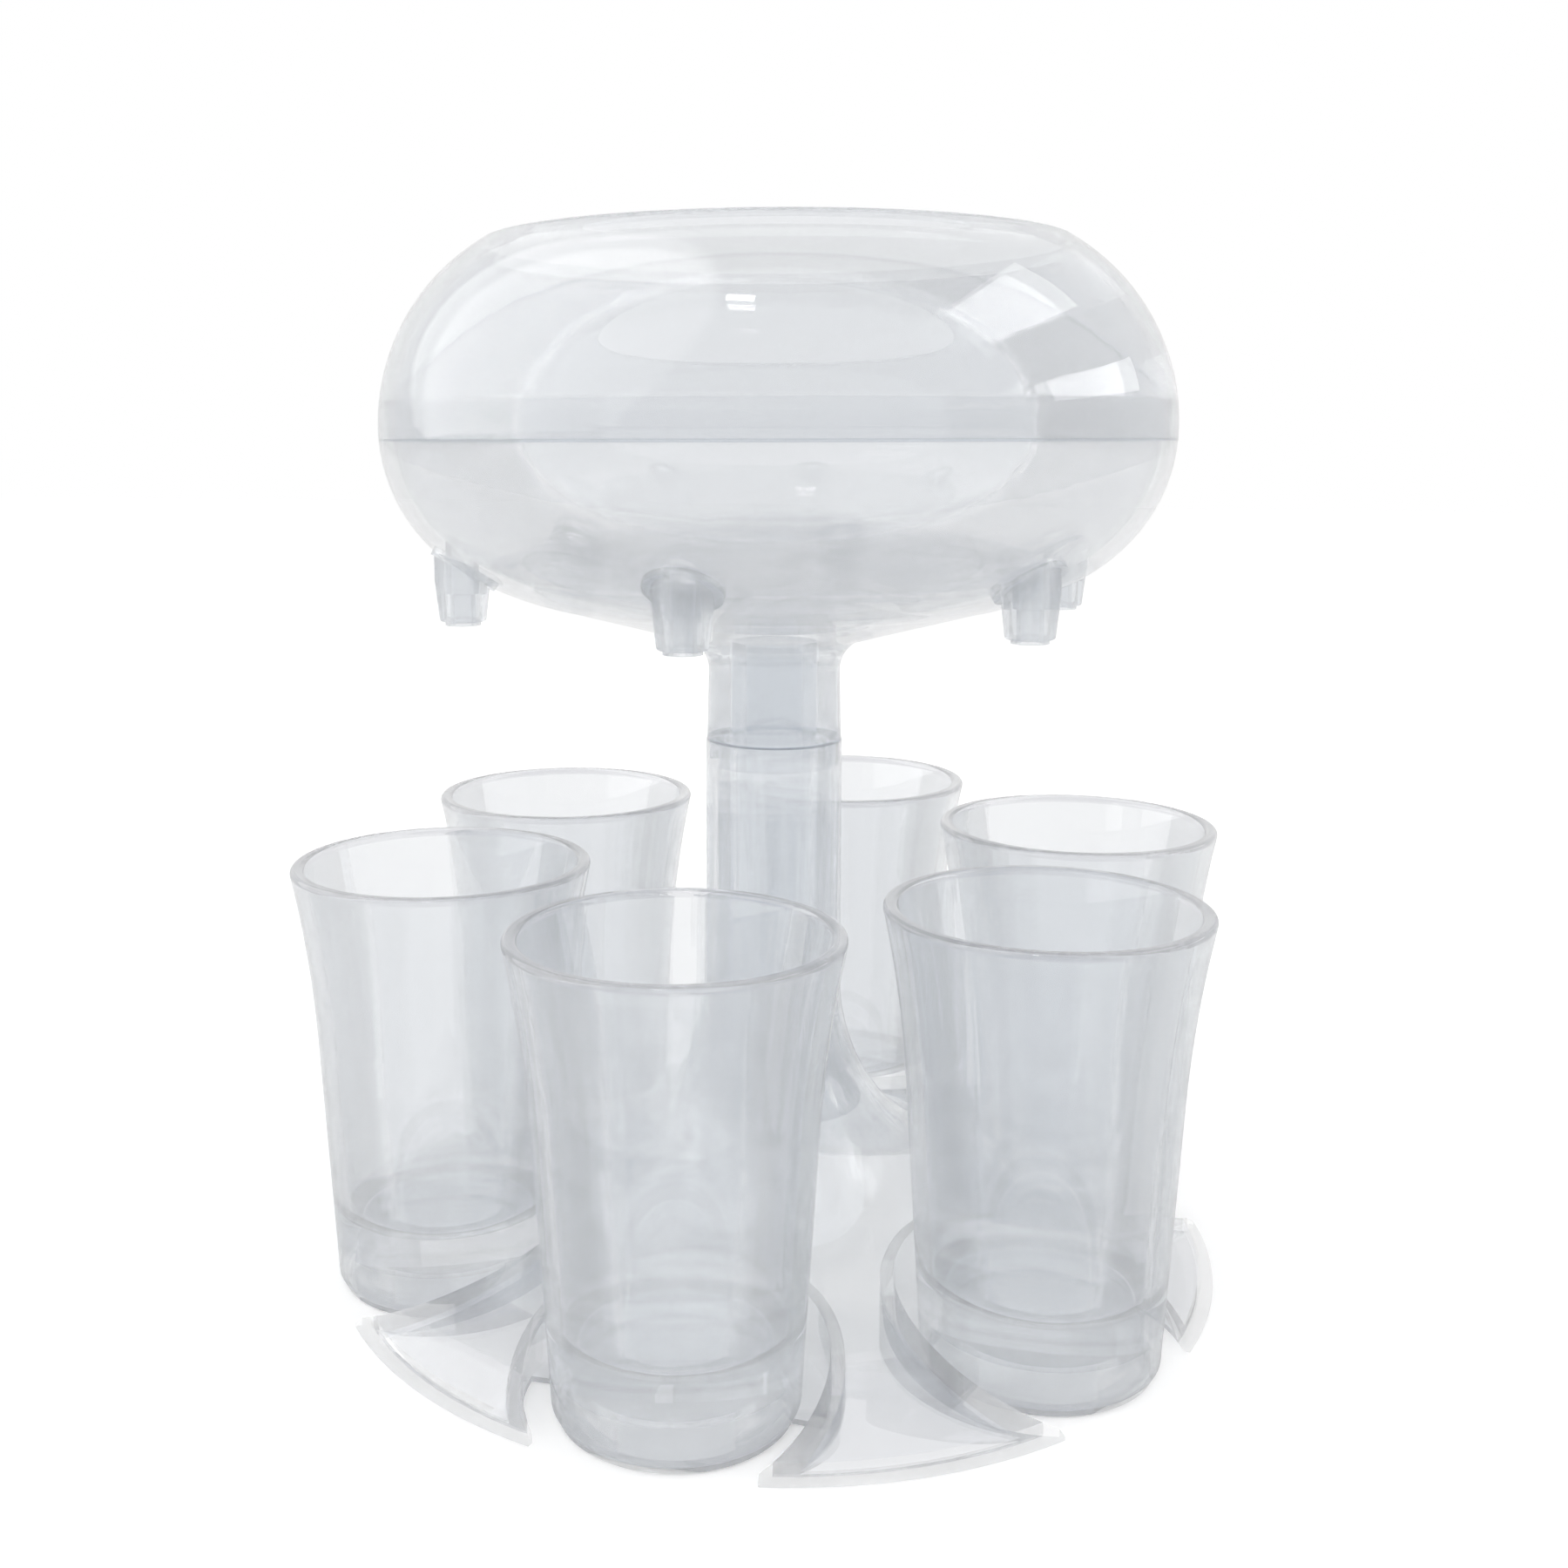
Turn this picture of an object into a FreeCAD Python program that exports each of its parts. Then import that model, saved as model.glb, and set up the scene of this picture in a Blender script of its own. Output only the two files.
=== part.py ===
import FreeCAD, Part
import math
import os
import Sketcher
from FreeCAD import Placement, Rotation, Vector

# Party shot dispenser: a clear moulded stand with six cups round a hollow column, and on
# the column a two-piece bowl with six spouts, one over each cup.
# Frame: +Z up, origin on the ground on the column's axis, the front cup towards -Y.
# Millimetres and degrees.

doc = FreeCAD.newDocument("shot_dispenser")

driving_sizes = {
    # the set
    "cup_count": 6,
    "cup_circle_r": 55.5,
    # cup, measured up from its own foot
    "cup_tall": 67.8,
    "cup_foot_r": 17.7,
    "cup_bend_r": 20.2,
    "cup_bend_z": 40.4,
    "cup_mouth_r": 24.0,
    "cup_flare_arc": 190.0,
    "cup_wall": 2.5,
    "cup_floor_z": 11.2,
    "cup_hollow_r": 14.8,
    "cup_hollow_deep": 5.2,
    "cup_inner_round": 3.2,
    "cup_lip_round": 0.9,
    "cup_lip_lean": 0.15,
    "cup_foot_round": 1.1,
    "cup_foot_draft": 0.4,
    # stand
    "ground_r": 73.2,
    "ground_edge": 0.6,
    "column_r": 11.35,
    "column_top_z": 86.1,
    "flare_start_z": 45.0,
    "flare_arc": 33.5,
    "flare_turn": 83.0,
    "dome_arc": 82.67,
    "stand_wall": 2.0,
    "socket_r": 21.8,
    "socket_floor": 0.8,
    "notch_turn": 176.0,
    "mouth_r": 16.2,
    "seat_inset": 0.8,
    # column joint
    "joint_gap": 0.3,
    "spigot_wall": 1.95,
    "spigot_deep": 4.3,
    "key_wide": 3.2,
    "key_tall": 3.4,
    "key_proud": 1.3,
    # bowl
    "bowl_r": 64.0,
    "bowl_wall": 2.4,
    "seam_z": 136.0,
    "belly_z": 137.7,
    "shoulder_arc": 26.9,
    "shoulder_turn": 58.2,
    "bottom_arc": 47.6,
    "bottom_end_r": 36.0,
    "stem_top_r": 10.9,
    "stem_top_z": 98.0,
    "stem_foot_r": 11.2,
    "stem_fillet": 5.6,
    "stem_fillet_wide": 4.9,
    "stem_fillet_high": 5.3,
    "well_r": 12.5,
    "well_z": 104.9,
    "lip_wall": 1.1,
    "lip_tall": 5.5,
    "rim_r": 47.5,
    "rim_z": 167.0,
    "rim_round": 1.7,
    # spreader dome inside the bowl
    "spreader_r": 46.4,
    "spreader_edge": 1.2,
    "spreader_rise": 7.0,
    "spreader_wall": 1.8,
    "spreader_seat": 0.15,
    "scallop_r": 9.0,
    # spouts
    "spout_inset": 4.1,
    "spout_end_z": 107.2,
    "spout_end_r": 3.7,
    "spout_root_r": 4.4,
    "spout_bore_r": 2.0,
    "drain_r": 2.6,
    "drain_z": 111.6,
    "spout_end_round": 0.5,
    "drip_lip_r": 2.8,
    "drip_lip_tall": 0.6,
    "collar_r": 5.8,
    "collar_thick": 1.5,
    "collar_gap": 0.1,
}


class Size:
    """A length with its value and the sheet expression that gives it."""

    def __init__(self, value, text):
        self.value, self.text = float(value), text

    def __add__(self, other):
        other = size_of(other)
        return Size(self.value + other.value, f"({self.text} + {other.text})")

    def __sub__(self, other):
        other = size_of(other)
        return Size(self.value - other.value, f"({self.text} - {other.text})")

    def __mul__(self, other):
        other = size_of(other)
        return Size(self.value * other.value, f"{self.text} * {other.text}")

    def __truediv__(self, other):
        other = size_of(other)
        return Size(self.value / other.value, f"{self.text} / ({other.text})")

    def __radd__(self, other):
        return size_of(other) + self

    def __rsub__(self, other):
        return size_of(other) - self

    def __rmul__(self, other):
        return size_of(other) * self


def size_of(number):
    return number if isinstance(number, Size) else Size(number, repr(float(number)))


def root(size):
    return Size(math.sqrt(size.value), f"sqrt({size.text})")


def sine(angle):
    return Size(math.sin(math.radians(angle.value)), f"sin({angle.text} * 1 deg)")


def cosine(angle):
    return Size(math.cos(math.radians(angle.value)), f"cos({angle.text} * 1 deg)")


def corner_arc(across, rise):
    """Radius of an arc that starts flat and ends this far across and this far up."""
    return (across * across + rise * rise) / (rise * 2)


sheet = doc.addObject("Spreadsheet::Sheet", "Sizes")
for row, (name, number) in enumerate(driving_sizes.items(), start=1):
    sheet.set(f"A{row}", name)
    sheet.set(f"B{row}", str(number))
    sheet.setAlias(f"B{row}", name)
doc.recompute()
s = {name: Size(number, f"Sizes.{name}") for name, number in driving_sizes.items()}


# ---- helpers -------------------------------------------------------------------------

def origin_plane(body, role):
    return next(f for f in body.Origin.OriginFeatures if f.Role == role)


def bind(obj, prop, size):
    size = size_of(size)
    obj.setExpression(prop, size.text)


def fix_point(sketch, geo, pos, x, z):
    """Hold a sketch point at the sheet's x and z."""
    for kind, axis, value in (("DistanceX", -2, x), ("DistanceY", -1, z)):
        value = size_of(value)
        if value.value == 0:
            sketch.addConstraint(Sketcher.Constraint("PointOnObject", geo, pos, axis))
        else:
            held = sketch.addConstraint(
                Sketcher.Constraint(kind, -1, 1, geo, pos, value.value))
            sketch.setExpression(f"Constraints[{held}]", value.text)


def arc_between(start, end, radius, left):
    """Arc from start to end whose centre lies left (or right) of the way travelled."""
    middle, way = (start + end) * 0.5, end - start
    rise = math.sqrt(max(radius ** 2 - way.Length ** 2 / 4, 0))
    normal = Vector(-way.y, way.x, 0).normalize() * (1 if left else -1)
    centre = middle + normal * rise
    angles = [math.atan2(p.y - centre.y, p.x - centre.x) for p in (start, end)]
    circle = Part.Circle(centre, Vector(0, 0, 1), radius)
    if left:
        return Part.ArcOfCircle(circle, angles[0], angles[1]), 1, 2
    return Part.ArcOfCircle(circle, angles[1], angles[0]), 2, 1


def outline(sketch, points):
    """Closed outline. Each point is (x, z) or (x, z, radius, side), where radius and side
    ('left' or 'right') describe the arc that leads from it to the next point."""
    spots = [Vector(size_of(p[0]).value, size_of(p[1]).value, 0) for p in points]
    joints = []
    for i, point in enumerate(points):
        here, there = spots[i], spots[(i + 1) % len(points)]
        if len(point) == 2:
            geo = sketch.addGeometry(Part.LineSegment(here, there))
            first, last = 1, 2
        else:
            arc, first, last = arc_between(here, there, size_of(point[2]).value,
                                           point[3] == "left")
            geo = sketch.addGeometry(arc)
            held = sketch.addConstraint(
                Sketcher.Constraint("Radius", geo, size_of(point[2]).value))
            sketch.setExpression(f"Constraints[{held}]", size_of(point[2]).text)
        joints.append((geo, first, last))
    for i, (geo, first, last) in enumerate(joints):
        next_geo, next_first, _ = joints[(i + 1) % len(joints)]
        sketch.addConstraint(
            Sketcher.Constraint("Coincident", geo, last, next_geo, next_first))
        fix_point(sketch, geo, first, points[i][0], points[i][1])


def new_body(name):
    body = doc.addObject("PartDesign::Body", name)
    body.Label = name
    return body


def new_sketch(body, name, role):
    sketch = body.newObject("Sketcher::SketchObject", name)
    sketch.AttachmentSupport = (origin_plane(body, role), [""])
    sketch.MapMode = "FlatFace"
    return sketch


def revolve(body, name, points, kind="PartDesign::Revolution"):
    sketch = new_sketch(body, name + "_profile", "XZ_Plane")
    outline(sketch, points)
    turned = body.newObject(kind, name)
    turned.Profile = sketch
    turned.ReferenceAxis = (sketch, ["V_Axis"])
    turned.Angle = 360
    doc.recompute()
    return turned


def primitive(kind, name, placement=None, **sizes):
    """A Part primitive whose named sizes are bound to the sheet."""
    obj = doc.addObject(kind, name)
    for prop, size in sizes.items():
        bind(obj, prop, size)
    if placement is not None:
        obj.Placement = placement
    return obj


def combine(kind, name, *parts):
    obj = doc.addObject(kind, name)
    if kind in ("Part::MultiFuse", "Part::MultiCommon"):
        obj.Shapes = list(parts)
    else:
        obj.Base, obj.Tool = parts
    return obj


def sketch_turned(name, points):
    """A Part revolution of a free sketch in the XZ plane about Z."""
    sketch = doc.addObject("Sketcher::SketchObject", name + "_profile")
    sketch.Placement = Placement(Vector(), Rotation(Vector(1, 0, 0), 90))
    outline(sketch, points)
    turned = doc.addObject("Part::Revolution", name)
    turned.Source = sketch
    turned.Axis = Vector(0, 0, 1)
    turned.Base = Vector()
    turned.Angle = 360
    turned.Solid = True
    return turned


places = ["front", "front_right", "rear_right", "rear", "rear_left", "front_left"]
pitch = 360.0 / driving_sizes["cup_count"]
spout_circle_r = driving_sizes["cup_circle_r"] - driving_sizes["spout_inset"]


def around(index):
    """Turn from +X to the index-th place, counted from the front."""
    return Rotation(Vector(0, 0, 1), -90 + pitch * index)


# ---- cups ----------------------------------------------------------------------------

def make_cup(place, index):
    wall, tall, floor = s["cup_wall"], s["cup_tall"], s["cup_floor_z"]
    slope = (s["cup_bend_r"] - s["cup_foot_r"]) / s["cup_bend_z"]
    body = new_body("cup_" + place)
    lip, foot, inner = s["cup_lip_round"], s["cup_foot_round"], s["cup_inner_round"]
    mouth_in = s["cup_mouth_r"] - wall
    floor_r = s["cup_foot_r"] + slope * floor - wall
    foot_arc = corner_arc(foot + slope * foot, foot)
    lip_arc = corner_arc(lip - s["cup_lip_lean"], lip)
    revolve(body, "cup_shell_" + place, [
        (0, s["cup_hollow_deep"]),
        (s["cup_hollow_r"], s["cup_hollow_deep"]),
        (s["cup_hollow_r"] + s["cup_foot_draft"], 0),
        (s["cup_foot_r"] - foot, 0, foot_arc, "left"),
        (s["cup_foot_r"] + slope * foot, foot),
        (s["cup_bend_r"], s["cup_bend_z"], s["cup_flare_arc"], "right"),
        (s["cup_mouth_r"] - s["cup_lip_lean"], tall - lip, lip_arc, "left"),
        (s["cup_mouth_r"] - lip, tall),
        (mouth_in + lip, tall, lip_arc, "left"),
        (mouth_in + s["cup_lip_lean"], tall - lip, s["cup_flare_arc"] + wall, "left"),
        (s["cup_bend_r"] - wall, s["cup_bend_z"]),
        (floor_r + slope * inner, floor + inner, inner, "right"),
        (floor_r - inner, floor),
        (0, floor)])
    turn = around(index)
    spot = turn.multVec(Vector(driving_sizes["cup_circle_r"], 0, 0))
    body.Placement = Placement(Vector(spot.x, spot.y, driving_sizes["socket_floor"]), turn)
    return body


# ---- stand ---------------------------------------------------------------------------

def make_stand():
    flare_x = s["column_r"] + s["flare_arc"]
    flare_z = s["flare_start_z"]
    away, down = cosine(s["flare_turn"]), sine(s["flare_turn"])

    def skin(depth):
        """Ends of the flare on a skin this deep under the outside, and its radii."""
        arc = s["flare_arc"] + depth
        return flare_x - arc * away, flare_z - arc * down, arc, s["dome_arc"] - depth

    x_out, z_out, flare_out, dome_out = skin(size_of(0))
    solid = sketch_turned("stand_outside", [
        (0, 0),
        (s["ground_r"], 0),
        (s["ground_r"], s["ground_edge"], dome_out, "left"),
        (x_out, z_out, flare_out, "right"),
        (s["column_r"], flare_z),
        (s["column_r"], s["column_top_z"]),
        (0, s["column_top_z"])])
    x_in, z_in, flare_in, dome_in = skin(s["stand_wall"])
    # the dome's centre, from the end of the flare along its normal
    centre_x = x_out - s["dome_arc"] * away
    centre_z = z_out - s["dome_arc"] * down
    open_r = centre_x + root(dome_in * dome_in - centre_z * centre_z)
    bore_r = s["column_r"] - s["stand_wall"]
    hollow = sketch_turned("stand_inside", [
        (0, 0),
        (open_r, 0, dome_in, "left"),
        (x_in, z_in, flare_in, "right"),
        (bore_r, flare_z),
        (bore_r, s["column_top_z"]),
        (0, s["column_top_z"])])
    well_tall = s["column_top_z"] / 2
    wells, walls, notches = [], [], []
    for index, place in enumerate(places):
        turn = around(index)
        spot = turn.multVec(Vector(driving_sizes["cup_circle_r"], 0, 0))
        walls.append(primitive("Part::Cylinder", "socket_wall_" + place, Placement(spot, turn),
                               Radius=s["socket_r"] + s["stand_wall"], Height=well_tall))
        lift = Vector(0, 0, driving_sizes["socket_floor"])
        wells.append(primitive("Part::Cylinder", "socket_well_" + place,
                               Placement(spot + lift, turn),
                               Radius=s["socket_r"], Height=well_tall))
        half = driving_sizes["notch_turn"] / 2
        swing = Placement(spot, turn.multiply(Rotation(Vector(0, 0, 1), -half)))
        outer = primitive("Part::Cylinder", "notch_outer_" + place, swing,
                          Radius=s["socket_r"], Height=s["socket_floor"] * 2,
                          Angle=s["notch_turn"])
        inner = primitive("Part::Cylinder", "notch_inner_" + place, swing,
                          Radius=s["cup_foot_r"] - s["seat_inset"],
                          Height=s["socket_floor"] * 2)
        # the fins end blunt, on each side of the socket's mouth
        edge = turn.multVec(Vector(driving_sizes["ground_r"], 0, 0))
        mouth = primitive("Part::Cylinder", "mouth_" + place, Placement(edge, turn),
                          Radius=s["mouth_r"], Height=s["stand_wall"] * 2)
        opened = combine("Part::MultiFuse", "notch_opened_" + place, outer, mouth)
        notches.append(combine("Part::Cut", "notch_" + place, opened, inner))
    keyways = []
    for side in (0, 1):
        swing = Rotation(Vector(0, 0, 1), 180 * side)
        keyway = primitive("Part::Box", f"keyway_{side}", None,
                           Length=s["column_r"] - s["stand_wall"] + s["key_proud"],
                           Width=s["key_wide"] + s["joint_gap"] * 2,
                           Height=s["key_tall"] + s["joint_gap"] * 2)
        half = driving_sizes["key_wide"] / 2 + driving_sizes["joint_gap"]
        depth = driving_sizes["key_tall"] + driving_sizes["joint_gap"]
        base = swing.multVec(Vector(0, -half, 0))
        keyway.Placement = Placement(
            base + Vector(0, 0, driving_sizes["column_top_z"] - depth), swing)
        keyways.append(keyway)
    under = combine("Part::Cut", "underside",
                    hollow, combine("Part::MultiFuse", "socket_walls", *walls))
    shell = combine("Part::Cut", "stand_shell", solid, under)
    cuts = combine("Part::MultiFuse", "stand_cuts", *wells, *notches, *keyways)
    stand = combine("Part::Cut", "stand", shell, cuts)
    doc.recompute()
    return stand


# ---- bowl ----------------------------------------------------------------------------

def bowl_skin(depth):
    """Ends of the bowl's lower arcs on a skin this deep, and their radii."""
    across, down = cosine(s["shoulder_turn"]), sine(s["shoulder_turn"])
    shoulder_x = s["bowl_r"] - s["shoulder_arc"]
    bottom_x = shoulder_x + (s["shoulder_arc"] - s["bottom_arc"]) * across
    bottom_z = s["belly_z"] - (s["shoulder_arc"] - s["bottom_arc"]) * down
    shoulder, bottom = s["shoulder_arc"] - depth, s["bottom_arc"] - depth
    join = (shoulder_x + shoulder * across, s["belly_z"] - shoulder * down)
    return shoulder, bottom, join, (shoulder_x, bottom_x, bottom_z)


def on_shoulder(depth, z):
    """Radius of the belly's skin at height z."""
    shoulder, _, _, (shoulder_x, _, _) = bowl_skin(depth)
    drop = s["belly_z"] - z
    return shoulder_x + root(shoulder * shoulder - drop * drop)


def on_bottom(depth, r):
    """Height of the bottom's skin at radius r."""
    _, bottom, _, (_, bottom_x, bottom_z) = bowl_skin(depth)
    reach = r - bottom_x
    return bottom_z - root(bottom * bottom - reach * reach)


def upper_skin(depth):
    """Arc of the bowl's upper part on a skin this deep: radius and centre's x."""
    across, rise = s["bowl_r"] - s["rim_r"], s["rim_z"] - s["belly_z"]
    arc = (across * across + rise * rise) / (across * 2)
    return arc - depth, s["bowl_r"] - arc


def on_upper(depth, z):
    """Radius of the upper part's skin at height z."""
    arc, centre_x = upper_skin(depth)
    rise = z - s["belly_z"]
    return centre_x + root(arc * arc - rise * rise)


def spout_seat():
    """Where a spout's collar meets the wall: radius, height and the wall's tilt."""
    _, bottom, _, (_, bottom_x, bottom_z) = bowl_skin(size_of(0))
    x = spout_circle_r
    reach = x - bottom_x.value
    z = bottom_z.value - math.sqrt(bottom.value ** 2 - reach ** 2)
    return x, z, math.degrees(math.asin(reach / bottom.value))


def at_seat(index, depth):
    """Placement on the wall at a spout, Z pointing into the bowl, this deep in it."""
    x, z, tilt = spout_seat()
    turn = around(index)
    lean = turn.multiply(Rotation(Vector(0, 1, 0), -tilt))
    return Placement(turn.multVec(Vector(x, 0, z)) + lean.multVec(Vector(0, 0, depth)), lean)


def over_drain(index, z):
    """Upright placement on a spout's own axis at height z."""
    turn = around(index)
    return Placement(turn.multVec(Vector(spout_circle_r, 0, z)), turn)


def make_bowl_lower():
    wall, none = s["bowl_wall"], size_of(0)
    shoulder_out, bottom_out, join_out, _ = bowl_skin(none)
    shoulder_in, bottom_in, join_in, _ = bowl_skin(wall)
    lip_z = s["seam_z"] + s["lip_tall"]
    lip_in = on_upper(wall, lip_z)
    lip_out = lip_in + s["lip_wall"]
    spigot_r = s["column_r"] - s["stand_wall"] - s["joint_gap"]
    spigot_in = spigot_r - s["spigot_wall"]
    foot_z = s["column_top_z"] - s["spigot_deep"]
    roof_z = s["well_z"] - wall
    corner = (s["stem_top_r"] + s["stem_fillet_wide"], s["stem_top_z"] + s["stem_fillet_high"])
    end_r = s["bottom_end_r"]
    body = new_body("bowl_lower_moulding")
    revolve(body, "bowl_lower_shell", [
        (0, roof_z),
        (spigot_in, roof_z),
        (spigot_in, foot_z),
        (spigot_r, foot_z),
        (spigot_r, s["column_top_z"]),
        (s["stem_foot_r"], s["column_top_z"]),
        (s["stem_top_r"], s["stem_top_z"], s["stem_fillet"], "right"),
        corner,
        (end_r, on_bottom(none, end_r), bottom_out, "left"),
        (join_out[0], join_out[1], shoulder_out, "left"),
        (on_shoulder(none, s["seam_z"]), s["seam_z"]),
        (lip_out, s["seam_z"]),
        (lip_out, lip_z),
        (lip_in, lip_z),
        (s["bowl_r"] - wall, s["belly_z"], shoulder_in, "right"),
        (join_in[0], join_in[1], bottom_in, "right"),
        (end_r, on_bottom(wall, end_r)),
        (s["well_r"], s["well_z"]),
        (0, s["well_z"])])
    # keys on the spigot
    sketch = new_sketch(body, "key_plan", "XY_Plane")
    bind(sketch, ".AttachmentOffset.Base.z", s["column_top_z"] - s["key_tall"])
    reach = spigot_r + s["key_proud"]
    half = s["key_wide"] / 2
    inside = spigot_in + s["spigot_wall"] / 4
    outline(sketch, [(inside, half * -1), (reach, half * -1), (reach, half),
                     (inside, half)])
    key = body.newObject("PartDesign::Pad", "key")
    key.Profile = sketch
    bind(key, "Length", s["key_tall"])
    doc.recompute()
    keys = body.newObject("PartDesign::PolarPattern", "keys")
    keys.Originals = [key]
    keys.Axis = (sketch, ["N_Axis"])
    keys.Angle = 360
    keys.Occurrences = 2
    body.Tip = keys
    doc.recompute()
    # a round seat in the wall for each spout's collar, and the drain above it
    cuts = []
    for index, place in enumerate(places):
        lead = driving_sizes["collar_thick"]
        cuts.append(primitive("Part::Cylinder", "collar_seat_" + place, at_seat(index, -lead),
                              Radius=s["collar_r"] + s["collar_gap"],
                              Height=s["collar_thick"] * 2))
        cuts.append(primitive("Part::Cylinder", "drain_" + place,
                              over_drain(index, driving_sizes["drain_z"]),
                              Radius=s["drain_r"], Height=s["bowl_r"] / 4))
    bowl = combine("Part::Cut", "bowl_lower", body,
                   combine("Part::MultiFuse", "bowl_cuts", *cuts))
    doc.recompute()
    return bowl


def make_bowl_upper():
    wall, none = s["bowl_wall"], size_of(0)
    arc_out, centre_x = upper_skin(none)
    arc_in, _ = upper_skin(wall)
    # the rim is cut square to the wall
    shrink = wall / arc_out
    rim_x = s["rim_r"] - (s["rim_r"] - centre_x) * shrink
    rim_low = s["rim_z"] - (s["rim_z"] - s["belly_z"]) * shrink
    # inside the seam its wall is stepped back to clear the lower part's lip
    step_z = s["seam_z"] + s["lip_tall"] + s["joint_gap"]
    step_r = on_upper(wall, s["seam_z"] + s["lip_tall"]) + s["lip_wall"] + s["joint_gap"]
    body = new_body("bowl_upper")
    revolve(body, "bowl_upper_shell", [
        (on_shoulder(none, s["seam_z"]), s["seam_z"], s["shoulder_arc"], "left"),
        (s["bowl_r"], s["belly_z"], arc_out, "left"),
        (s["rim_r"], s["rim_z"], s["rim_round"], "left"),
        (rim_x, rim_low, arc_in, "right"),
        (on_upper(wall, step_z), step_z),
        (step_r, step_z),
        (step_r, s["seam_z"])])
    return body


def make_spreader():
    """Low dome over the bowl's floor that leads the drink out to the six drains."""
    _, bottom_in, _, (_, bottom_x, bottom_z) = bowl_skin(s["bowl_wall"] + s["spreader_seat"])
    r, rise, wall = s["spreader_r"], s["spreader_rise"], s["spreader_wall"]
    floor_z = bottom_z - bottom_in
    edge_z = on_bottom(s["bowl_wall"] + s["spreader_seat"], r)
    crown = (r * r + rise * rise) / (rise * 2)
    centre_z = edge_z + s["spreader_edge"] + rise - crown
    crown_in = crown - wall
    reach = r - wall
    solid = sketch_turned("spreader_outside", [
        (0, floor_z),
        (bottom_x, floor_z, bottom_in, "left"),
        (r, edge_z),
        (r, edge_z + s["spreader_edge"], crown, "left"),
        (0, centre_z + crown)])
    hollow = sketch_turned("spreader_inside", [
        (0, floor_z - wall),
        (reach, floor_z - wall),
        (reach, centre_z + root(crown_in * crown_in - reach * reach), crown_in, "left"),
        (0, centre_z + crown_in)])
    posts, scallops = [], []
    start = driving_sizes["well_z"]
    for index, place in enumerate(places):
        posts.append(primitive("Part::Cylinder", "scallop_wall_" + place,
                               over_drain(index, start),
                               Radius=s["scallop_r"] + wall, Height=s["bowl_r"]))
        scallops.append(primitive("Part::Cylinder", "scallop_" + place,
                                  over_drain(index, start),
                                  Radius=s["scallop_r"], Height=s["bowl_r"]))
    under = combine("Part::Cut", "spreader_underside", hollow,
                    combine("Part::MultiFuse", "scallop_walls", *posts))
    shell = combine("Part::Cut", "spreader_shell", solid, under)
    spreader = combine("Part::Cut", "spreader", shell,
                       combine("Part::MultiFuse", "scallops", *scallops))
    doc.recompute()
    return spreader


# ---- spouts --------------------------------------------------------------------------

def make_spout(place, index):
    """Upright tube with a round collar that lies along the bowl's wall."""
    end_z = driving_sizes["spout_end_z"]
    body = new_body("spout_body_" + place)
    revolve(body, "spout_tube_" + place, [
        (0, 0),
        (s["drip_lip_r"], 0),
        (s["drip_lip_r"], s["drip_lip_tall"]),
        (s["spout_end_r"] - s["spout_end_round"], s["drip_lip_tall"],
         s["spout_end_round"], "left"),
        (s["spout_end_r"], s["drip_lip_tall"] + s["spout_end_round"]),
        (s["spout_root_r"], s["collar_r"] + s["collar_thick"]),
        (s["spout_root_r"], s["collar_r"] * 2),
        (0, s["collar_r"] * 2)])
    body.Placement = over_drain(index, end_z - driving_sizes["drip_lip_tall"])
    collar = primitive("Part::Cylinder", "spout_collar_" + place, at_seat(index, 0),
                       Radius=s["collar_r"], Height=s["collar_thick"])
    inside = primitive("Part::Cylinder", "spout_trim_" + place,
                       at_seat(index, driving_sizes["collar_thick"]),
                       Radius=s["collar_r"] * 3, Height=s["collar_r"] * 3)
    bore = primitive("Part::Cylinder", "spout_bore_" + place,
                     over_drain(index, end_z - 2 * driving_sizes["drip_lip_tall"]),
                     Radius=s["spout_bore_r"], Height=s["bowl_r"] / 2)
    drain = primitive("Part::Cylinder", "spout_drain_" + place,
                      over_drain(index, driving_sizes["drain_z"]),
                      Radius=s["drain_r"], Height=s["bowl_r"] / 4)
    whole = combine("Part::MultiFuse", "spout_whole_" + place, body, collar)
    cuts = combine("Part::MultiFuse", "spout_cuts_" + place, inside, bore, drain)
    spout = combine("Part::Cut", "spout_" + place, whole, cuts)
    doc.recompute()
    return spout


# ---- build and write -----------------------------------------------------------------

pieces = [make_stand(), make_bowl_lower(), make_bowl_upper(), make_spreader()]
for index, place in enumerate(places):
    pieces.append(make_spout(place, index))
for index, place in enumerate(places):
    pieces.append(make_cup(place, index))
doc.recompute()

for obj in doc.Objects:
    if "Invalid" in obj.State or "Error" in obj.State:
        raise RuntimeError(f"{obj.Name} did not rebuild: {obj.State}")
for piece in pieces:
    shape = piece.Shape
    if shape.isNull() or not shape.isValid() or len(shape.Solids) != 1:
        raise RuntimeError(f"{piece.Label} is not one valid solid")

os.makedirs("parts", exist_ok=True)
for piece in pieces:
    piece.Shape.exportStep(f"parts/{piece.Label}.step")
    box = piece.Shape.BoundBox
    print(f"{piece.Label}: {piece.Shape.Volume:.0f} mm3, z {box.ZMin:.2f} to {box.ZMax:.2f}")
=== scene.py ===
import bpy
import math
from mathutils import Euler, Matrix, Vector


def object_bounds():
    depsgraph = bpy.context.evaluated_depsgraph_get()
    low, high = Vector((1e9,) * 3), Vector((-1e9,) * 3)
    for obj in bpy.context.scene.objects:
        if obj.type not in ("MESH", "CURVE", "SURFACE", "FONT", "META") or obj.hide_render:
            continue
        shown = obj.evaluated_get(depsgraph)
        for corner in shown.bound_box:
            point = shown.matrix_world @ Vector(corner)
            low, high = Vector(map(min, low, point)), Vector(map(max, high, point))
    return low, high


# Clear party shot dispenser on a white studio floor. Metres, in the CAD frame.

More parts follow.
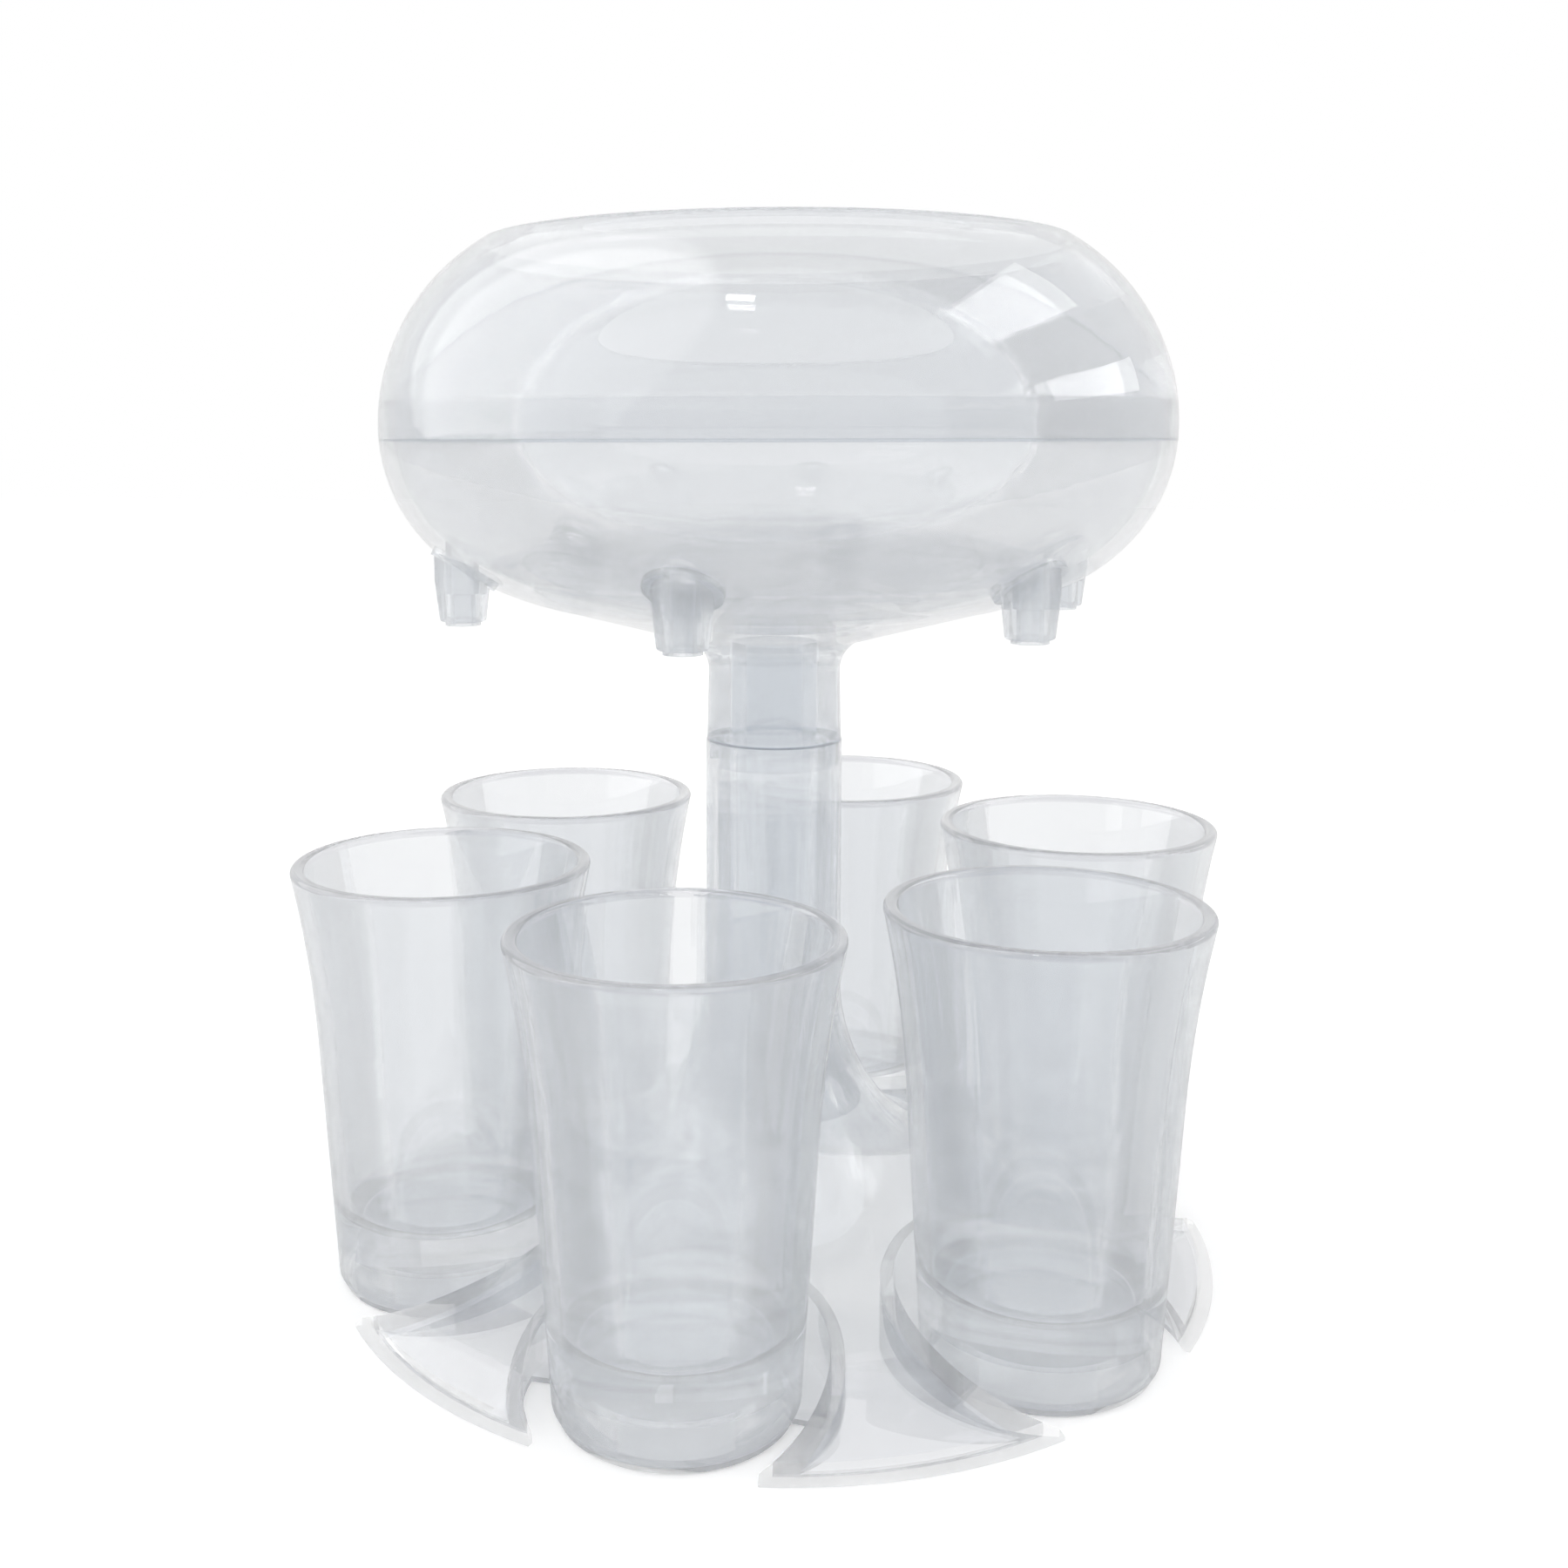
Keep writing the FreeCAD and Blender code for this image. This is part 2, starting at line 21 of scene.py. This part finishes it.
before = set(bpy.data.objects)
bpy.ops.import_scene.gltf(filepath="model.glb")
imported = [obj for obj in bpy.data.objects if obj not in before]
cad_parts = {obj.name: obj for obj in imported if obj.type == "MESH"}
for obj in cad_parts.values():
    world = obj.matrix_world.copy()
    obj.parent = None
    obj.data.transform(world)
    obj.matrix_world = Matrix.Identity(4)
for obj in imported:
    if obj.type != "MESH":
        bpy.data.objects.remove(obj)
cadLow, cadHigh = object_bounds()
places = ["front", "front_right", "rear_right", "rear", "rear_left", "front_left"]
white = (1, 1, 1, 1)
print("frame loaded", len(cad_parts), "nodes")


def newMaterial(name):
    mat = bpy.data.materials.new(name)
    mat.use_nodes = True
    tree = mat.node_tree
    return mat, tree, tree.nodes["Principled BSDF"]


def addNode(tree, kind, inputs=None, **props):
    node = tree.nodes.new(kind)
    for key, value in props.items():
        setattr(node, key, value)
    for key, value in (inputs or {}).items():
        node.inputs[key].default_value = value
    return node


# height above the floor, or distance from the dispenser's axis
def measure(tree, coords, kind):
    link = tree.links.new
    if kind == "height":
        split = addNode(tree, "ShaderNodeSeparateXYZ")
        link(coords.outputs["Object"], split.inputs["Vector"])
        return split.outputs["Z"]
    flat = addNode(tree, "ShaderNodeVectorMath", {1: (1, 1, 0)}, operation="MULTIPLY")
    link(coords.outputs["Object"], flat.inputs[0])
    length = addNode(tree, "ShaderNodeVectorMath", operation="LENGTH")
    link(flat.outputs["Vector"], length.inputs[0])
    return length.outputs["Value"]


# 1 where the piece lies inside every span of (height or radius, from, to), 0 elsewhere
def zoneMask(tree, coords, spans):
    link = tree.links.new
    total = None
    for kind, start, end in spans:
        mask = addNode(tree, "ShaderNodeMath", {1: (start + end) / 2, 2: (end - start) / 2},
                       operation="COMPARE")
        link(measure(tree, coords, kind), mask.inputs[0])
        if total:
            both = addNode(tree, "ShaderNodeMath", operation="MULTIPLY")
            link(total, both.inputs[0])
            link(mask.outputs["Value"], both.inputs[1])
            mask = both
        total = mask.outputs["Value"]
    return total


# colour drifts a little with the flow, and painted shade makes it darker and cooler where the
# wall is seen edge on, standing in for the darker room the plastic reflects there
def driftAndEdgeShade(tree, flow, look):
    link = tree.links.new
    drift = addNode(tree, "ShaderNodeMix", data_type="RGBA")
    drift.inputs["A"].default_value = look["colourA"]
    drift.inputs["B"].default_value = look["colourB"]
    link(flow.outputs["Fac"], drift.inputs["Factor"])
    # painted edge shade: the colour goes toward edgeShadeColour at the silhouette
    facing = addNode(tree, "ShaderNodeLayerWeight", {"Blend": look["edgeBlend"]})
    edge = addNode(tree, "ShaderNodeMix", data_type="RGBA")
    edge.inputs["B"].default_value = look["edgeShadeColour"]
    link(facing.outputs["Facing"], edge.inputs["Factor"])
    link(drift.outputs["Result"], edge.inputs["A"])
    return edge.outputs["Result"]


# one moulded clear plastic, part of each face plainly see-through
def clearPlastic(name, look):
    mat, tree, shader = newMaterial(name)
    link = tree.links.new
    coords = addNode(tree, "ShaderNodeTexCoord")
    stretch = addNode(tree, "ShaderNodeMapping", {"Scale": look["flowStretch"]})
    link(coords.outputs["Object"], stretch.inputs["Vector"])
    flow = addNode(tree, "ShaderNodeTexNoise",
                   {"Scale": look["flowScale"], "Detail": look["flowDetail"],
                    "Roughness": look["flowRoughness"]})
    link(stretch.outputs["Vector"], flow.inputs["Vector"])
    fine = addNode(tree, "ShaderNodeTexNoise",
                   {"Scale": look["fineScale"], "Detail": look["fineDetail"],
                    "Roughness": look["fineRoughness"]})
    link(coords.outputs["Object"], fine.inputs["Vector"])

    # a thicker or thinner stretch of wall, or a painted shade line at a joint, has its own
    # colour and its own body
    colour, body = driftAndEdgeShade(tree, flow, look), None
    for spans, zoneColour, zoneBody in look["zones"]:
        mask = zoneMask(tree, coords, spans)
        tint = addNode(tree, "ShaderNodeMix", data_type="RGBA")
        tint.inputs["B"].default_value = zoneColour
        link(mask, tint.inputs["Factor"])
        link(colour, tint.inputs["A"])
        colour = tint.outputs["Result"]
        level = addNode(tree, "ShaderNodeMix", data_type="FLOAT")
        level.inputs["A"].default_value = look["body"]
        level.inputs["B"].default_value = zoneBody
        link(mask, level.inputs["Factor"])
        if body:
            link(body, level.inputs["A"])
        body = level.outputs["Result"]
    link(colour, shader.inputs["Base Color"])
    shader.inputs["Alpha"].default_value = look["body"]
    if body:
        link(body, shader.inputs["Alpha"])

    # polish is broken by fine handling marks
    marks = addNode(tree, "ShaderNodeMapRange",
                    {"From Min": look["marksFrom"], "From Max": look["marksTo"],
                     "To Min": look["polish"], "To Max": look["handled"]})
    link(fine.outputs["Fac"], marks.inputs["Value"])
    link(marks.outputs["Result"], shader.inputs["Roughness"])
    bump = addNode(tree, "ShaderNodeBump",
                   {"Strength": look["flowStrength"], "Distance": look["flowDepth"]})
    link(flow.outputs["Fac"], bump.inputs["Height"])
    link(bump.outputs["Normal"], shader.inputs["Normal"])

    shader.inputs["Transmission Weight"].default_value = look["clearness"]
    shader.inputs["IOR"].default_value = look["ior"]
    return mat


def dress(nodes, mat):
    for node in nodes:
        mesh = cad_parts[node].data
        mesh.materials.clear()
        mesh.materials.append(mat)


# what all the mouldings share; body is how much of a face isn't plainly see-through
plastic = {
    "colourA": (0.87, 0.892, 0.92, 1), "colourB": (0.89, 0.91, 0.932, 1),
    # edgeShadeColour is the painted shade that the silhouettes take on
    "edgeShadeColour": (0.82, 0.85, 0.89, 1), "edgeBlend": 0.25,
    "flowStretch": (1, 1, 0.35), "flowScale": 34.0, "flowDetail": 3.0, "flowRoughness": 0.5,
    "flowStrength": 0.12, "flowDepth": 0.0004,
    "fineScale": 900.0, "fineDetail": 4.0, "fineRoughness": 0.6,
    "marksFrom": 0.35, "marksTo": 0.75, "polish": 0.004, "handled": 0.018,
    "ior": 1.49, "clearness": 0.8, "body": 0.50, "zones": [],
}

# where the lip stands inside the step, three thin faces take the place of one
lipZone = ([("height", 0.1359, 0.1420), ("radius", 0.0, 0.0632)], (0.92, 0.935, 0.955, 1), 0.5)

bowlUpperLook = dict(
    plastic, colourA=(0.82, 0.84, 0.868, 1), colourB=(0.84, 0.858, 0.882, 1),
    edgeShadeColour=(0.76, 0.79, 0.83, 1), body=0.60, zones=[lipZone])
dress(["bowl_upper"], clearPlastic("clear_bowl", bowlUpperLook))

bowlLowerLook = dict(
    plastic, colourA=(0.835, 0.855, 0.882, 1), colourB=(0.865, 0.882, 0.905, 1),
    edgeShadeColour=(0.79, 0.815, 0.85, 1), flowStrength=0.35, flowScale=45.0, body=0.48,
    zones=[
        lipZone,
        # the stem is the thickest moulding and looks the deepest
        ([("height", 0.0861, 0.1035)], (0.74, 0.775, 0.82, 1), 0.6),
        # the spigot shows through the column
        ([("height", 0.0, 0.0861)], (0.88, 0.90, 0.93, 1), 0.38),
        # thin dark lines painted where two mouldings meet: painted shade of the gap along each
        # seam
        ([("height", 0.0860, 0.0865), ("radius", 0.0090, 0.0120)],
         (0.42, 0.47, 0.54, 1), 0.8),
        ([("height", 0.1356, 0.1361), ("radius", 0.0620, 0.0650)],
         (0.50, 0.55, 0.61, 1), 0.7),
    ])
dress(["bowl_lower"], clearPlastic("clear_bowl_lower", bowlLowerLook))

spreaderLook = dict(
    # the spreader gets the darkest painted edge shade
    plastic, edgeShadeColour=(0.45, 0.50, 0.58, 1), edgeBlend=0.3,
    flowStretch=(1, 1, 1), flowScale=70.0, flowStrength=0.6, body=0.28)
dress(["spreader"], clearPlastic("clear_spreader", spreaderLook))

standLook = dict(
    plastic, colourA=(0.893, 0.918, 0.95, 1), colourB=(0.912, 0.934, 0.96, 1),
    edgeShadeColour=(0.83, 0.868, 0.915, 1), flowStretch=(1, 1, 1), clearness=0.86, body=0.56,
    zones=[
        # the fins look fuller, and the disc ends in a single thin edge
        ([("radius", 0.056, 0.0708)], (0.78, 0.795, 0.825, 1), 0.70),
        ([("radius", 0.0708, 0.08)], (0.96, 0.965, 0.972, 1), 0.3),
    ])
dress(["stand"], clearPlastic("clear_stand", standLook))

cupLook = dict(
    plastic, colourA=(0.89, 0.908, 0.93, 1), colourB=(0.905, 0.921, 0.94, 1),
    edgeShadeColour=(0.81, 0.838, 0.875, 1), flowScale=40.0, clearness=0.9, body=0.67,
    # the rolled rim
    zones=[([("height", 0.0675, 0.07)], (0.78, 0.785, 0.815, 1), 0.85)])
dress(["cup_" + place for place in places], clearPlastic("clear_cup", cupLook))

spoutLook = dict(
    plastic, colourA=(0.81, 0.835, 0.865, 1), colourB=(0.835, 0.855, 0.88, 1),
    edgeShadeColour=(0.58, 0.63, 0.70, 1), flowScale=120.0, body=0.6)
dress(["spout_" + place for place in places], clearPlastic("clear_spout", spoutLook))
print("materials done")


floorLook = {
    "size": 6.0, "drop": 0.0002, "colour": (0.93, 0.93, 0.93, 1), "roughness": 0.9,
    "lift": 0.24, "seenWhite": 1.0,
}


def makeFloor():
    half = floorLook["size"] / 2
    z = cadLow.z - floorLook["drop"]
    mesh = bpy.data.meshes.new("floor")
    corners = [(-half, -half, z), (half, -half, z), (half, half, z), (-half, half, z)]
    mesh.from_pydata(corners, [], [(0, 1, 2, 3)])
    floor = bpy.data.objects.new("floor", mesh)
    bpy.context.scene.collection.objects.link(floor)
    mat, tree, shader = newMaterial("floor_white")
    shader.inputs["Base Color"].default_value = floorLook["colour"]
    shader.inputs["Roughness"].default_value = floorLook["roughness"]
    shader.inputs["Specular IOR Level"].default_value = 0.0
    mesh.materials.append(mat)
    # through the plastic the floor is plain white, and straight on it is lifted to white
    link = tree.links.new
    path = addNode(tree, "ShaderNodeLightPath")
    lift = addNode(tree, "ShaderNodeMath", {1: floorLook["lift"]}, operation="MULTIPLY")
    link(path.outputs["Is Camera Ray"], lift.inputs[0])
    shader.inputs["Emission Color"].default_value = white
    link(lift.outputs["Value"], shader.inputs["Emission Strength"])
    paper = addNode(tree, "ShaderNodeEmission", {"Strength": floorLook["seenWhite"]})
    both = addNode(tree, "ShaderNodeMixShader")
    link(path.outputs["Is Transmission Ray"], both.inputs["Fac"])
    link(shader.outputs["BSDF"], both.inputs[1])
    link(paper.outputs["Emission"], both.inputs[2])
    link(both.outputs["Shader"], tree.nodes["Material Output"].inputs["Surface"])


# the room lights with the sky; the plastic mirrors a paler wall on its left
room = {
    "skyStrength": 0.82, "seenWhite": 1.0, "mirrored": 0.84,
    "wallTurn": -158.0, "wallTilt": 32.0, "wallHalfWide": 46.0, "wallSoft": 1.5,
    "wallExtra": 1.5,
}
# name: size across, size along, brightness, turn, tilt, distance
lamps = {
    "softbox_left": (0.60, 0.45, 1.4, -146.0, 32.0, 0.80),
    "window_high": (0.62, 0.28, 2.2, 15.0, 45.0, 1.00),
    "window_low": (0.70, 0.14, 2.2, 22.0, 16.0, 1.00),
    "lamp_top": (0.09, 0.045, 40.0, -90.0, 60.0, 0.90),
}


# unit direction from the object at this turn and tilt in degrees
def towards(turn, tilt):
    turn, tilt = math.radians(turn), math.radians(tilt)
    return Vector((math.cos(turn) * math.cos(tilt), math.sin(turn) * math.cos(tilt),
                   math.sin(tilt)))


# soft light whose power follows from how bright its face looks
def addLamp(name, across, along, brightness, turn, tilt, distance):
    data = bpy.data.lights.new(name, "AREA")
    data.shape, data.size, data.size_y = "RECTANGLE", across, along
    data.energy = brightness * math.pi * across * along
    lamp = bpy.data.objects.new(name, data)
    bpy.context.scene.collection.objects.link(lamp)
    way = towards(turn, tilt)
    lamp.location = (cadLow + cadHigh) / 2 + way * distance
    lamp.rotation_euler = way.to_track_quat("Z", "Y").to_euler()


# the room as the plastic mirrors it, brighter within the wall's cone
def mirroredRoom(tree):
    link = tree.links.new
    coords = addNode(tree, "ShaderNodeTexCoord")
    along = addNode(tree, "ShaderNodeVectorMath", operation="DOT_PRODUCT")
    along.inputs[1].default_value = towards(room["wallTurn"], room["wallTilt"])
    link(coords.outputs["Generated"], along.inputs[0])
    near = math.cos(math.radians(room["wallHalfWide"] - room["wallSoft"]))
    far = math.cos(math.radians(room["wallHalfWide"] + room["wallSoft"]))
    wall = addNode(tree, "ShaderNodeMapRange",
                   {"From Min": far, "From Max": near, "To Min": room["mirrored"],
                    "To Max": room["mirrored"] + room["wallExtra"]})
    link(along.outputs["Value"], wall.inputs["Value"])
    back = addNode(tree, "ShaderNodeBackground", {"Color": white})
    link(wall.outputs["Result"], back.inputs["Strength"])
    return back.outputs["Background"]


def makeLight():
    world = bpy.data.worlds.new("studio")
    bpy.context.scene.world = world
    world.use_nodes = True
    tree = world.node_tree
    link = tree.links.new
    sky = tree.nodes["Background"]
    sky.inputs["Color"].default_value = white
    sky.inputs["Strength"].default_value = room["skyStrength"]
    paper = addNode(tree, "ShaderNodeBackground",
                    {"Color": white, "Strength": room["seenWhite"]})
    path = addNode(tree, "ShaderNodeLightPath")
    seen = addNode(tree, "ShaderNodeMath", operation="MAXIMUM")
    link(path.outputs["Is Camera Ray"], seen.inputs[0])
    link(path.outputs["Is Transmission Ray"], seen.inputs[1])
    mirrored = addNode(tree, "ShaderNodeMixShader")
    link(path.outputs["Is Glossy Ray"], mirrored.inputs["Fac"])
    link(sky.outputs["Background"], mirrored.inputs[1])
    link(mirroredRoom(tree), mirrored.inputs[2])
    # a ray through the plastic also counts as glossy, so the white comes last
    sights = addNode(tree, "ShaderNodeMixShader")
    link(seen.outputs["Value"], sights.inputs["Fac"])
    link(mirrored.outputs["Shader"], sights.inputs[1])
    link(paper.outputs["Background"], sights.inputs[2])
    link(sights.outputs["Shader"], tree.nodes["World Output"].inputs["Surface"])
    for name, facts in lamps.items():
        addLamp(name, *facts)
    # the wall stands in for the big softbox in reflections
    bpy.data.objects["softbox_left"].visible_glossy = False


makeFloor()
makeLight()
print("studio done")


shot = {
    "place": (0.0687, -0.2723, 0.13657), "tilt": 83.50, "roll": 0.07, "turn": 16.27,
    "lens": 38.99, "sensor": 36.0, "shiftX": 0.0459, "shiftY": -0.0993,
}


def makeCamera():
    data = bpy.data.cameras.new("camera")
    data.lens, data.sensor_width = shot["lens"], shot["sensor"]
    data.shift_x, data.shift_y = shot["shiftX"], shot["shiftY"]
    cam = bpy.data.objects.new("camera", data)
    bpy.context.scene.collection.objects.link(cam)
    cam.location = shot["place"]
    cam.rotation_euler = Euler([math.radians(shot[k]) for k in ("tilt", "roll", "turn")])
    bpy.context.scene.camera = cam
    bpy.context.scene.view_settings.view_transform = "Standard"


makeCamera()
print("camera done")
